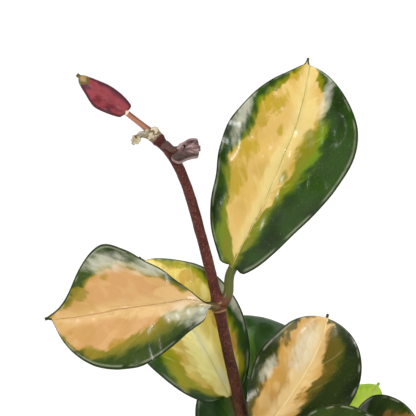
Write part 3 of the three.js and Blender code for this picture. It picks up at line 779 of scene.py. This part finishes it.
class Stem:
    """A stem's line and thickness, in the part's own measures."""

    def __init__(self, radius, nodes, path):
        self.radius = radius
        self.path = path
        self.spans = len(path) - 1
        self.nodes = [node / self.spans for node in nodes]
        places = np.linspace(0, 1, 400)
        self.length = np.linalg.norm(np.diff(self.at(places), axis=0), axis=1).sum()

    def at(self, t):
        return through_points(self.path, t)

    def tangent(self, t):
        step = 1e-4
        return unit(self.at(t + step) - self.at(t - step))

    def radius_at(self, t):
        here = self.at(t)
        swelling = 0
        for node in self.nodes:
            distance = np.linalg.norm(here - self.at(node), axis=-1) / NODE_LENGTH
            swelling = swelling + NODE_SWELLING * bell(distance)
        return (self.radius[0] + (self.radius[1] - self.radius[0]) * t) * (1 + swelling)

    def ring(self, t, angle):
        """The middle of the stem at each t, and the ways out of it at angles round it, from its front."""
        centre, along = self.at(t), self.tangent(t)
        front = square_to((0, -1, 0), along)
        return centre, spokes(front, np.cross(along, front), angle)


def stem_material():
    """A downy purple-brown stem, tan at its nodes, with a cream joint and a dark red blotch at its end."""
    stem = Shader("stem", Specular_IOR_Level=0.15)
    to_end, _, to_node = stem.parts(stem.attribute("place"))
    position = stem.position()
    patches = stem.noise(position, 160, 3)
    speckles = stem.noise(position, 1900, 3)
    cracks = stem.noise(position, 620, 4, 0.65)
    lower = stem.over((54, 28, 13), (88, 53, 33), patches, 0.35, 0.65)
    upper = stem.over((68, 29, 23), (94, 46, 38), patches, 0.35, 0.65)
    worn = stem.linear(patches, 2.4, to_node)
    colour = stem.layers(
        lower,
        (upper, to_end, 110, 60),
        ((60, 26, 20), speckles, 0.48, 0.34),
        ((132, 92, 78), speckles, 0.57, 0.75),
        ((104, 64, 46), worn, 2.8, 1.8),
    )
    scar = stem.times(stem.between(worn, 2.3, 2.6), stem.between(worn, 3.3, 3.0), 0.7)
    colour = stem.mix(scar, colour, (176, 134, 94))
    ragged = stem.uneven(to_end, cracks, 9)
    bark = stem.over((112, 92, 72), (198, 186, 156), cracks, 0.46, 0.56)
    colour = stem.layers(colour, ((72, 26, 26), ragged, 11, 9), (bark, ragged, 6.6, 4.4))
    roughness = stem.linear(speckles, 0.3, 0.4)
    return stem.finish(colour, Roughness=roughness, Normal=stem.bump(speckles, 0.25, 0.8))


def add_stem(name, stem, material, sides=24, step=1.2):
    """The fine stem, with a collar at each side of its nodes and a rounded end."""
    t = np.linspace(0, 1, round(stem.length / step))
    angle = round_angles(sides)
    centre, out = stem.ring(t, angle)
    to_end = (1 - t) * stem.length
    to_node = np.min([np.linalg.norm(centre - stem.at(node), axis=-1) for node in stem.nodes], axis=0)
    collar = COLLAR_RISE * bell((to_node - COLLAR_DISTANCE) / COLLAR_WIDTH)
    uneven = STEM_UNEVENNESS * waves(len(name), angle[None] * 8, to_end[:, None], 5, 40)
    rounded_end = np.sqrt(np.clip(1 - (1 - np.minimum(to_end / ROUNDED_LENGTH, 1)) ** 2, 0.02, 1))
    radius = (stem.radius_at(t) * (1 + collar) * rounded_end)[:, None] * (1 + uneven)
    rings = centre[:, None] + out * radius[..., None]
    add_body(name, rings, material, {"place": (to_end[:, None], angle[None], to_node[:, None])})


def add_hairs(name, stem, material, per_mm=9, length=0.42, width=0.045, sunk=0.97, directions=40):
    """The stem's down: many short closed spikes that stand out of it and lean to its tip."""
    random = np.random.default_rng(len(name))
    count = round(stem.length * per_mm)
    t = random.uniform(0.04, 1, count)
    centre, out = stem.ring(t, round_angles(directions))
    out = out[np.arange(count), random.integers(0, directions, count)]
    along = stem.tangent(t)
    side = np.cross(along, out)
    foot = centre + out * (stem.radius_at(t) * sunk)[:, None]
    lean = along * random.uniform(-0.1, 0.7, (count, 1))
    way = unit(out + lean + side * random.uniform(-0.4, 0.4, (count, 1)))
    tip = foot + way * random.uniform(0.4, 1, (count, 1)) * length
    behind = foot - along * width * 0.5
    corners = (foot + along * width, behind + side * width, behind - side * width, tip)
    faces = []
    for a in range(0, 4 * count, 4):
        b, c, top = a + 1, a + 2, a + 3
        faces += [(a, c, b), (a, b, top), (b, c, top), (c, a, top)]
    add_piece(f"hairs_{name}", None, np.stack(corners, 1).reshape(-1, 3), faces, material)


def hair_material():
    hairs = Shader("hairs", Roughness=0.7, Specular_IOR_Level=0.15)
    tone = hairs.noise(hairs.position(), 900, 1)
    return hairs.finish(hairs.mix(tone, (92, 58, 44), (168, 134, 112)))


# ---------------------------------------------------------------- leaves

BASE_THICKNESS = 1.2
TIP_THICKNESS = 0.9
MARGIN_THICKNESS = 0.9
RIB_HEIGHT = 1.1  # of the midrib's ridge below the blade, at the base
RIB_WIDTH = 1.5
CREASE_DEPTH = 0.26  # of the groove over the midrib, and no more than CREASE_SHARE of the length
CREASE_SHARE = 0.006
CREASE_WIDTH = 0.8
CALM_SHARE = 0.25  # of the length, over which the waves and the groove grow to their full height
RIM_REACH = 0.36  # of the rounded margin, out from the edge of the upper face
RIM_ANGLES = (45, 90, 135)  # of the points that round the margin, from the upper face
TIP_HALF_WIDTH = 0.2
VEIN_LEAN = math.radians(34)  # of the side veins, from the midrib
PETIOLE_ARC = math.radians(75)  # round the stalk, from its top to where a margin grows out of it
PETIOLE_ROOT = 0.4  # how deep in the stem a petiole starts, as a share of the stem's radius
PETIOLE_SLANT = 1.2  # how much a petiole heads for its blade as it leaves the stem
PETIOLE_FLARE = 0.45  # of its radius, in the stem
BLEND_LENGTH = 2.5  # along the midrib, over which the petiole widens into the blade
BLEND_SHARE = 0.12  # the most of the blade's length that this may be
BAND_SHARE = 0.17  # the band's width, as a share of a loose pale middle's
UNEVEN_SHARE = 0.17  # by which the edge of a loose pale middle wanders
LEAF_OFFSET = 7.3  # from one leaf to the next in the noises of its material
SIDE_OFFSET = 2.1  # from a leaf's midrib to each side
FINE = {"stations": 84, "columns": 43, "petiole": 14}
PLAIN = {"stations": 52, "columns": 27, "petiole": 10}


class Leaf:
    """A leaf's surface, in the part's own measures, with the finer forms on it. s goes from 0 at the
    blade's base to 1 at its tip, place from -1 at the left margin to 1 at the right one."""

    def __init__(self, seed, row):
        self.seed = seed
        self.base = np.array(row["base"], float)
        reach = np.array(row["tip"], float) - self.base
        self.length = np.linalg.norm(reach)
        self.axis = reach / self.length
        self.up = square_to(row["face"], self.axis)
        self.across = np.cross(self.axis, self.up)
        self.widths = (row["left"], row["right"])
        self.fold, self.cup = np.radians(row["fold"]), np.radians(row["cup"])
        for key in ("cusp", "arch", "bend", "lobe", "rib", "ripple", "radius"):
            setattr(self, key, row[key])

    def midrib(self, s):
        bow = (self.length * 4 * s * (1 - s))[..., None]
        along = self.base + self.axis * (self.length * s)[..., None]
        return along + self.up * self.arch * bow + self.across * self.bend * bow

    def rib_at(self, s):
        return smooth_through(self.rib, s)

    def half_width(self, s, side):
        """The distance from midrib to margin: an oval that ends in a fine spike."""
        share = np.minimum(s / (1 - 0.6 * self.cusp / self.length), 1)
        oval = smooth_through(self.widths[side], s) * 2 * np.sqrt(share * (1 - share))
        to_tip = (1 - s) * self.length
        spike = 0.55 * to_tip * bell(to_tip / (1.6 * self.cusp))
        width = (np.maximum(oval, 0) ** 2.5 + spike**2.5) ** 0.4
        return np.maximum(width - RIM_REACH, TIP_HALF_WIDTH)

    def half_at(self, s, place):
        return np.where(place > 0, self.half_width(s, 1), self.half_width(s, 0))

    def directions(self, s):
        step = 1e-3
        along = unit(self.midrib(s + step) - self.midrib(s - step))
        up = square_to(self.up, along)
        return along, up, np.cross(along, up)

    def section(self, s, place):
        """Distance across, height and tilt of the upper face."""
        side = np.sign(place)
        share = np.abs(place)
        right = (place > 0).astype(int)
        fold, cup = self.fold[right], self.cup[right]
        turn = cup * share / 2
        chord = share * self.half_at(s, place) * np.sinc(turn / math.pi)
        return side * np.cos(fold + turn) * chord, np.sin(fold + turn) * chord, side * (fold + cup * share)

    def upper(self, s, place):
        """Points and normals of the upper face at each s and place, arrays of one shape."""
        along, up, across = self.directions(s)
        sideways, height, tilt = self.section(s, place)
        lobe = np.where(place > 0, self.lobe[1], self.lobe[0])
        back = lobe * self.length * place**2 * (1 - s) ** 3
        x = place * self.half_at(s, place)
        calm = smoothstep(s, 0, CALM_SHARE) * np.minimum(1, (1 - s) * 5)
        height_of_waves, shortest, longest = self.ripple
        ripple = waves(self.seed, x, s * self.length, shortest, longest) * height_of_waves * calm
        depth = min(CREASE_DEPTH, self.length * CREASE_SHARE)
        crease = depth * bell((x - self.rib_at(s)) / CREASE_WIDTH) * calm
        rise = height + ripple - crease
        points = self.midrib(s) + across * sideways[..., None] + up * rise[..., None]
        normals = up * np.cos(tilt)[..., None] - across * np.sin(tilt)[..., None]
        return points - along * back[..., None], normals

    def thickness(self, s, place):
        rib = BASE_THICKNESS + (TIP_THICKNESS - BASE_THICKNESS) * s
        flat = rib + (MARGIN_THICKNESS - rib) * place**2
        x = place * self.half_at(s, place) - self.rib_at(s)
        return flat + RIB_HEIGHT * (1 - 0.85 * s) * bell(x / RIB_WIDTH)

    def blade(self, stations, columns):
        """Rings of points round the blade at stations from 0 to 1, with columns of points on each face."""
        s, place = np.meshgrid(stations, columns, indexing="ij")
        top, normals = self.upper(s, place)
        bottom = top - normals * self.thickness(s, place)[..., None]
        rims = []
        for column, side in ((-1, 1), (0, -1)):
            centre = (top[:, column] + bottom[:, column]) / 2
            above = (top[:, column] - bottom[:, column]) / 2
            out = unit(np.cross(self.directions(s[:, column])[0], unit(above))) * side
            reach = np.linalg.norm(above, axis=-1, keepdims=True) / MARGIN_THICKNESS * 2 * RIM_REACH
            angles = np.radians(RIM_ANGLES)
            rim = [centre + above * math.cos(a) + out * reach * math.sin(a) for a in angles]
            rims.append(np.stack(rim, 1))
        return np.concatenate([top, rims[0], bottom[:, ::-1], rims[1][:, ::-1]], 1)

    def petiole(self, stem, node, at_end, count, angles):
        """Rings of the petiole, from inside the stem to the blade's base."""
        along = self.directions(np.array([1e-3]))[0][0]
        if at_end:
            out, reach = stem.tangent(1.0), 2 * self.radius
            root = stem.at(1.0) - out * reach
        else:
            t = node / stem.spans
            root, reach = stem.at(t), stem.radius_at(t)
            out = square_to(self.base - root, stem.tangent(t))
        start = root + out * reach
        end = self.base - self.up * self.radius - along * self.radius / 2
        pull = np.linalg.norm(end - start)
        slant = unit(out + unit(end - root) * PETIOLE_SLANT)
        start = root + slant * reach
        handles = np.array([start, start + slant * 0.35 * pull, end - along * 0.4 * pull, end])
        t = np.linspace(0, 1, count - 1)
        weights = np.stack([(1 - t) ** 3, 3 * t * (1 - t) ** 2, 3 * t**2 * (1 - t), t**3], 1)
        centres = np.vstack([root + slant * reach * PETIOLE_ROOT, weights @ handles])
        radii = self.radius * (1 + PETIOLE_FLARE * np.exp(-np.linspace(0, 6, count)))
        return self.round_rings(centres, unit(np.gradient(centres, axis=0)), radii, angles)

    def round_rings(self, centres, tangents, radii, angles):
        up = square_to(self.up, tangents)
        return centres[:, None] + spokes(up, np.cross(tangents, up), angles) * radii[:, None, None]


def ring_layout(columns):
    """For each point of a leaf's ring: its place across, how far under it is, its angle on a stalk."""
    rim = np.array(RIM_ANGLES) / 180
    faces = np.ones(len(columns))
    places = np.concatenate([columns, rim * 0 + 1, columns[::-1], rim * 0 - 1])
    under = np.concatenate([0 * faces, rim, faces, rim[::-1]])
    upper = columns * PETIOLE_ARC
    side = PETIOLE_ARC + (math.pi - 2 * PETIOLE_ARC) * rim
    return places, under, np.concatenate([upper, side, math.pi - upper[::-1], -side[::-1]])


def patch_values(name, x, s):
    """How deep each point lies in the leaf's patches of each colour: 1 in the middle, 0 outside."""
    depths = np.zeros((len(PATCH_COLOURS), *x.shape))
    for depth, colour in zip(depths, PATCH_COLOURS):
        for left, right, low, high in PATCHES.get(name, {}).get(colour, ()):
            off = (2 * x - left - right) / (right - left)
            ahead = (2 * s - low - high) / (high - low)
            np.maximum(depth, 1.3 - np.hypot(off, ahead), out=depth)
    return np.minimum(depths, 1)


def loose_zones(leaf, share, seed):
    """Edges of the cream and of the band for a leaf whose pale middle takes a share of its width."""
    random = np.random.default_rng(seed)
    s = np.linspace(0, 1, 11)
    rise = np.interp(s, (0, 0.1, 0.5, 0.85, 1), (0.55, 0.8, 1, 1.15, 1.3))
    halves = [leaf.half_width(s, side) * share for side in (0, 1)]
    zones = []
    for extra in (0, BAND_SHARE):
        uneven = (1 + random.uniform(-UNEVEN_SHARE, UNEVEN_SHARE, len(s)) for _ in halves)
        zones.append([half * (rise * wander + extra) for half, wander in zip(halves, uneven)])
    return zones


def add_leaf(name, seed, row, stems, materials, detail):
    """The fine leaf in place of a packed one, from its row of the table."""
    leaf = Leaf(seed, row)
    count = detail["stations"]
    stations = (1 - np.cos(math.pi * (np.arange(count) + 0.3) / (count - 0.6))) / 2
    columns = np.sin(np.linspace(-math.pi / 2, math.pi / 2, detail["columns"]))
    places, under, angles = ring_layout(columns)
    along, middle = leaf.directions(stations)[0], leaf.midrib(stations) - leaf.up * leaf.radius
    stalk = leaf.round_rings(middle, along, stations * 0 + leaf.radius, angles)
    blend = min(BLEND_LENGTH, BLEND_SHARE * leaf.length)
    share = smoothstep(stations * leaf.length, 0, blend)[:, None, None]
    blade = stalk * (1 - share) + leaf.blade(stations, columns) * share
    petiole = leaf.petiole(stems[row["stem"]], row["node"], row["at_end"], detail["petiole"], angles)

    before = np.linspace(-1, -0.05, detail["petiole"])
    s, place = np.meshgrid(np.concatenate([before, stations]), places, indexing="ij")
    on_blade = np.clip(s, 0, 1)
    half = leaf.half_at(on_blade, place)
    x, y = place * half, on_blade * leaf.length
    from_rib = x - leaf.rib_at(on_blade)
    off_rib = np.abs(from_rib)
    zones = (row["cream"], row["band"]) if "cream" in row else loose_zones(leaf, row["share"], seed)
    cream, band = (
        np.minimum(x + smooth_through(left, on_blade), smooth_through(right, on_blade) - x)
        for left, right in zones
    )
    cos, sin = math.cos(VEIN_LEAN), math.sin(VEIN_LEAN)
    own = leaf.seed * LEAF_OFFSET + np.sign(from_rib) * SIDE_OFFSET
    # the last: how deep each point lies in the patches of painted highlight over the leaf's silvery flecks
    *patches, silver_and_highlight = patch_values(name, x, s)
    palette = row["palette"]
    add_body(name, np.concatenate([petiole, blade]), materials[palette], {
        "zone": (cream, band, (1 - np.abs(place)) * half),
        "place": (from_rib, s, under),
        "vein": (off_rib * cos - y * sin, off_rib * sin + y * cos, own),
        "patch": patches,
        "silver_and_highlight": (silver_and_highlight,) * 3,
    })


def ruled_leaf(stem_name, stem, node, azimuth, rise, length, roll, palette):
    """The row of a leaf that follows the rule."""
    t = node / stem.spans
    petiole = PETIOLE_LENGTH * (0.5 if length < SMALL_LEAF else 1)
    base = stem.at(t) + heading(azimuth, rise + PETIOLE_RISE) * (stem.radius_at(t) + petiole)
    axis = heading(azimuth, rise)
    half_widths = [width * length / RULED_LENGTH for width in RULED_HALF_WIDTHS]
    return RULED_LEAF | {
        "stem": stem_name, "node": node, "palette": palette, "share": RULED_SHARES[palette],
        "base": base, "tip": base + axis * length, "cusp": length / 16,
        "face": turned(square_to((0, 0, 1), axis), axis, math.radians(roll)),
        "left": half_widths, "right": half_widths,
    }


def add_leaves(stems, materials):
    for seed, (name, row) in enumerate(LEAVES.items(), 1):
        add_leaf(name, seed, USUAL_LEAF | row, stems, materials, FINE)
    seed = FIRST_RULED_SEED
    for stem_name, rules in FOLIAGE.items():
        for number, rule in enumerate(rules, 1):
            row = ruled_leaf(stem_name, stems[stem_name], *rule)
            add_leaf(f"leaf_{stem_name}_{number}", seed, row, stems, materials, PLAIN)
            seed += 1


# ---------------------------------------------------------------- pot and soil

POT = {
    "height": 108, "base_radius": 44, "shoulder_radius": 56, "rim_radius": 62, "rim_height": 25,
    "wall": 6, "rim_wall": 8, "floor": 8, "edge": 1.5,
}
SOIL = {"edge_height": 94, "crown_height": 97, "gap": 0.3}  # gap is the room between soil and pot
STEP = 2.5  # between points along the pot's profile
WHEEL_MARK = 0.14  # the height of the marks that the wheel left, WHEEL_PITCH apart
WHEEL_PITCH = 3.7
AXIS_RADIUS = 0.01  # of the ring in place of a point on the axis
CLEAR_OF_STEMS = 4.5  # from a stem's foot to a loose bit
CLEAR_OF_WALL = 2  # from the pot's wall to a loose bit


def inner_radius(height):
    """The inside of the pot's wall at a height."""
    share = (height - POT["floor"]) / (POT["height"] - POT["floor"])
    low = POT["base_radius"] - POT["wall"]
    return low + (POT["rim_radius"] - POT["rim_wall"] - low) * share


SOIL_RADIUS = inner_radius(SOIL["edge_height"]) - SOIL["gap"]


def rounded(profile, size, steps=4):
    """A profile of (radius, height) corners with each corner cut to a small curve."""
    profile = np.array(profile, float)
    points = [profile[0]]
    for before, corner, after in zip(profile, profile[1:], profile[2:]):
        reach = min(size, np.linalg.norm(before - corner) / 2, np.linalg.norm(after - corner) / 2)
        first = corner + unit(before - corner) * reach
        last = corner + unit(after - corner) * reach
        for t in np.linspace(0, 1, steps):
            points.append(first * (1 - t) ** 2 + corner * 2 * t * (1 - t) + last * t**2)
    return np.array([*points, profile[-1]])


def with_steps(profile, step):
    """The profile with more points, none further apart than step."""
    points = [profile[0]]
    for before, after in zip(profile, profile[1:]):
        count = math.ceil(np.linalg.norm(after - before) / step)
        points += [before + (after - before) * (i + 1) / count for i in range(count)]
    return np.array(points)


def pot_material():
    """Fired clay: speckled terracotta, with paler mineral bloom on its lower wall and rim."""
    clay = Shader("terracotta")
    position = clay.position()
    height = clay.times(clay.parts(position)[2], 1 / MM)
    clouds = clay.stretched(position, (1, 1, 0.6), 4, 0.6, scale=28)
    grains = clay.noise(position, 1400, 3)
    colour = clay.layers(
        (168, 92, 62),
        ((196, 118, 84), clouds, 0.35, 0.7),
        ((120, 66, 46), clay.cells(position, 420), 0.18, 0.1, 0.5),
        ((218, 158, 126), grains, 0.5, 0.7, 0.35),
    )
    low = clay.between(clay.linear(clouds, 46, height), 52, 30)
    high = clay.between(clay.linear(clouds, -26, height), 84, 98)
    chalk = clay.times(clay.math("MAXIMUM", low, high), clay.between(grains, 0.3, 0.6), 0.42)
    colour = clay.mix(chalk, colour, (226, 196, 172))
    normal = clay.bump(grains, 0.35, 0.7, Normal=clay.bump(clouds, 1.2, 0.4))
    return clay.finish(colour, Roughness=clay.linear(grains, 0.2, 0.72), Normal=normal)


def add_pot(sides=144):
    """The pot, with the marks of the wheel on its wall."""
    base, shoulder, rim = POT["base_radius"], POT["shoulder_radius"], POT["rim_radius"]
    height, floor = POT["height"], POT["floor"]
    band = height - POT["rim_height"]
    outline = [
        (AXIS_RADIUS, 0), (base, 0), (shoulder, band), (rim, band), (rim, height),
        (inner_radius(height), height), (inner_radius(floor), floor), (AXIS_RADIUS, floor),
    ]
    profile = with_steps(rounded(outline, POT["edge"] * 1.4), STEP)
    angle = round_angles(sides)
    radius, level = profile[:, :1], profile[:, 1:]
    on_wall = smoothstep(radius, base * 0.9, base)
    turning = WHEEL_MARK * np.sin(level * 2 * math.pi / WHEEL_PITCH + np.sin(level / 5))
    uneven = 0.1 * waves(3, level, level, 6, 30) + 0.3 * waves(4, angle[None] * 16, level * 0.4, 30, 100)
    rings = circles(radius + (turning + uneven) * on_wall, angle, level)
    add_body("pot", rings, pot_material())


def soil_material():
    """Dark crumbly potting mix."""
    mix = Shader("potting_mix", Roughness=0.95)
    position = mix.position()
    crumbs = mix.cells(position, 520)
    tone = mix.noise(position, 240, 4, 0.65)
    colour = mix.over((38, 26, 19), (78, 56, 40), tone, 0.35, 0.65)
    colour = mix.over(colour, (28, 19, 14), crumbs, 0.35, 0.7)
    return mix.finish(colour, Normal=mix.bump(tone, 0.8, 0.6, Normal=mix.bump(crumbs, 1.0, 0.9)))


def soil_height(x, y):
    """The soil's crown with lumps on it."""
    share = np.clip(np.hypot(x, y) / SOIL_RADIUS, 0, 1)
    crown = SOIL["crown_height"] + (SOIL["edge_height"] - SOIL["crown_height"]) * share**2
    lumps = waves(11, x, y, 3, 9, 9) * 0.5 + waves(12, x, y, 10, 40) * 0.6
    return crown + (lumps - 0.4) * (1 - share**12)


def add_soil(sides=160, step=0.9):
    """The soil, level below and crumbled on top."""
    floor = POT["floor"] + SOIL["gap"]
    angle = round_angles(sides)
    rings = [circles(radius, angle, floor) for radius in (AXIS_RADIUS, inner_radius(floor) - SOIL["gap"])]
    for radius in np.arange(SOIL_RADIUS, step / 2, -step):
        rings.append(circles(radius, angle, soil_height(radius * np.cos(angle), radius * np.sin(angle))))
    add_body("soil", np.array(rings), soil_material())


def chip_material(name, dark, light):
    chip = Shader(name, Roughness=0.9)
    tone = chip.noise(chip.position(), 500, 4, 0.7)
    return chip.finish(chip.over(dark, light, tone, 0.3, 0.7), Normal=chip.bump(tone, 0.5, 0.8))


def add_chips(name, count, size, shape, seed, material):
    """Loose bits that lie half sunk in the soil: each a cut and dented ball."""
    random = np.random.default_rng(seed)
    levels = np.linspace(0.12, math.pi - 0.12, 6)[:, None]
    ball = circles(np.sin(levels), round_angles(9), np.cos(levels))
    faces_of_one = loft_faces(*ball.shape[:2])
    points, faces = [], []
    outer = inner_radius(SOIL["edge_height"]) - CLEAR_OF_WALL
    feet = np.array([form["path"][0][:2] for form in STEMS.values()])
    while count:
        place = random.uniform(-outer, outer, 2)
        if np.hypot(*place) > outer or np.min(np.linalg.norm(feet - place, axis=1)) < CLEAR_OF_STEMS:
            continue
        count -= 1
        axes = np.linalg.qr(random.normal(size=(3, 3)))[0]
        axes[:, 2] = unit(axes[:, 2] + (0, 0, 1.5))
        dents = 1 + random.uniform(-0.22, 0.22, ball.shape[:2])[..., None]
        bit = np.clip(ball * dents, -0.8, 0.8) * random.uniform(0.5, 1) * size * np.array(shape)
        bit = ring_values(bit @ axes.T + (*place, float(soil_height(*place)) + 0.2))
        first = len(points) * len(bit)
        faces += [tuple(i + first for i in face) for face in faces_of_one]
        points.append(bit)
    add_piece(name, None, np.vstack(points), faces, material)


# ---------------------------------------------------------------- stage

AIM = np.array([-26, 0, 200])  # the middle of what the camera shows, roughly
FRONT = -90  # the azimuth of the camera's side

# Area lights that look at AIM: azimuth from the camera's side, 90 on the right, then elevation,
# distance in millimetres, width and height in metres, power in watts.
SOFTBOXES = {
    "left_window": (-50, 21, 1100, (0.1, 0.22), 3.4),
    "right_window": (64, 12, 1300, (0.1, 0.12), 2.6),
    "front_window": (28, 62, 1300, (0.07, 0.09), 1.3),
    "low_window": (-12, 20, 1300, (0.05, 0.08), 0.6),
    "side_window": (72, 40, 1300, (0.12, 0.12), 2),
}


def add_floor(size=60):
    """A wide pale floor; size is in metres."""
    floor = Shader("floor", Roughness=0.9)
    grain = floor.noise(floor.position(), 6, 3)
    mesh = bpy.data.meshes.new("floor")
    corners = [(-size, -size, 0), (size, -size, 0), (size, size, 0), (-size, size, 0)]
    mesh.from_pydata(corners, [], [(0, 1, 2, 3)])
    mesh.materials.append(floor.finish(floor.mix(grain, (250, 250, 250), (254, 254, 254))))
    in_scene("floor", mesh)


def look_along(thing, way):
    """Turns a camera or lamp to look along way."""
    thing.rotation_euler = Vector(way).to_track_quat("-Z", "Y").to_euler()


def add_softbox(name, azimuth, elevation, distance, size, power):
    way = heading(azimuth + FRONT, elevation)
    data = bpy.data.lights.new(name, "AREA")
    data.shape = "RECTANGLE"
    data.size, data.size_y = size
    data.energy = power
    lamp = in_scene(name, data)
    lamp.location = (AIM + way * distance) * MM
    look_along(lamp, -way)


def add_camera():
    """The photograph's view: 10 degrees down, with 145.6 mm of the plant across the picture."""
    distance = 800
    target = np.array([-26, 0, 239])
    span = 145.6
    back = heading(FRONT, 10)
    data = bpy.data.cameras.new("camera")
    data.sensor_width = 36
    data.lens = data.sensor_width * distance / span
    data.clip_start = 0.05
    data.clip_end = 60
    camera = in_scene("camera", data)
    camera.location = (target + back * distance) * MM
    look_along(camera, -back)
    bpy.context.scene.camera = camera


def studio_world(horizon, overhead):
    """White round the horizon and dimmer above it."""
    world = bpy.data.worlds.new("studio")
    world.use_nodes = True
    nodes, links = world.node_tree.nodes, world.node_tree.links
    direction = nodes.new("ShaderNodeTexCoord")
    height = nodes.new("ShaderNodeSeparateXYZ")
    links.new(direction.outputs["Generated"], height.inputs[0])
    strength = nodes.new("ShaderNodeMapRange")
    strength.interpolation_type = "SMOOTHSTEP"
    limits = {"From Min": 0.1, "From Max": 0.28, "To Min": horizon, "To Max": overhead}
    for key, value in limits.items():
        strength.inputs[key].default_value = value
    links.new(height.outputs[2], strength.inputs["Value"])
    background = nodes["Background"]
    background.inputs["Color"].default_value = (1, 1, 1, 1)
    links.new(strength.outputs[0], background.inputs["Strength"])
    return world


def add_light():
    bpy.context.scene.world = studio_world(horizon=1.0, overhead=0.22)
    for name, form in SOFTBOXES.items():
        add_softbox(name, *form)
    sky = bpy.data.lights.new("sky", "SUN")
    sky.energy = 2.6
    sky.angle = math.radians(70)
    in_scene("sky", sky)
    bpy.context.scene.view_settings.view_transform = "Standard"


# ---------------------------------------------------------------- the scene

add_camera()
add_light()
add_floor()
stems = {name: Stem(**form) for name, form in STEMS.items()}
bark = stem_material()
down = hair_material()
for name, stem in stems.items():
    add_stem(f"stem_{name}", stem, bark)
    add_hairs(f"stem_{name}", stem, down)
leaf_materials = {name: leaf_material(name) for name in PALETTES}
leaf_materials["red"] = red_material()
leaf_materials["mauve"] = dried_material(
    "dried_mauve", dark=(66, 50, 44), middle=(104, 76, 74), pale=(172, 146, 144), spots=(48, 30, 26),
    stalk=(92, 60, 50),
)
leaf_materials["dried"] = dried_material(
    "dried_cream", dark=(124, 110, 84), middle=(170, 156, 124), pale=(208, 198, 170), spots=(70, 54, 42),
    stalk=(196, 186, 156),
)
add_leaves(stems, leaf_materials)
add_pot()
add_soil()
add_chips(
    "soil_bark", count=170, size=3.2, shape=(1, 0.65, 0.35), seed=5,
    material=chip_material("bark", (58, 36, 24), (122, 84, 56)),
)
add_chips(
    "soil_perlite", count=70, size=1.7, shape=(1, 0.9, 0.8), seed=6,
    material=chip_material("perlite", (196, 192, 182), (236, 234, 228)),
)
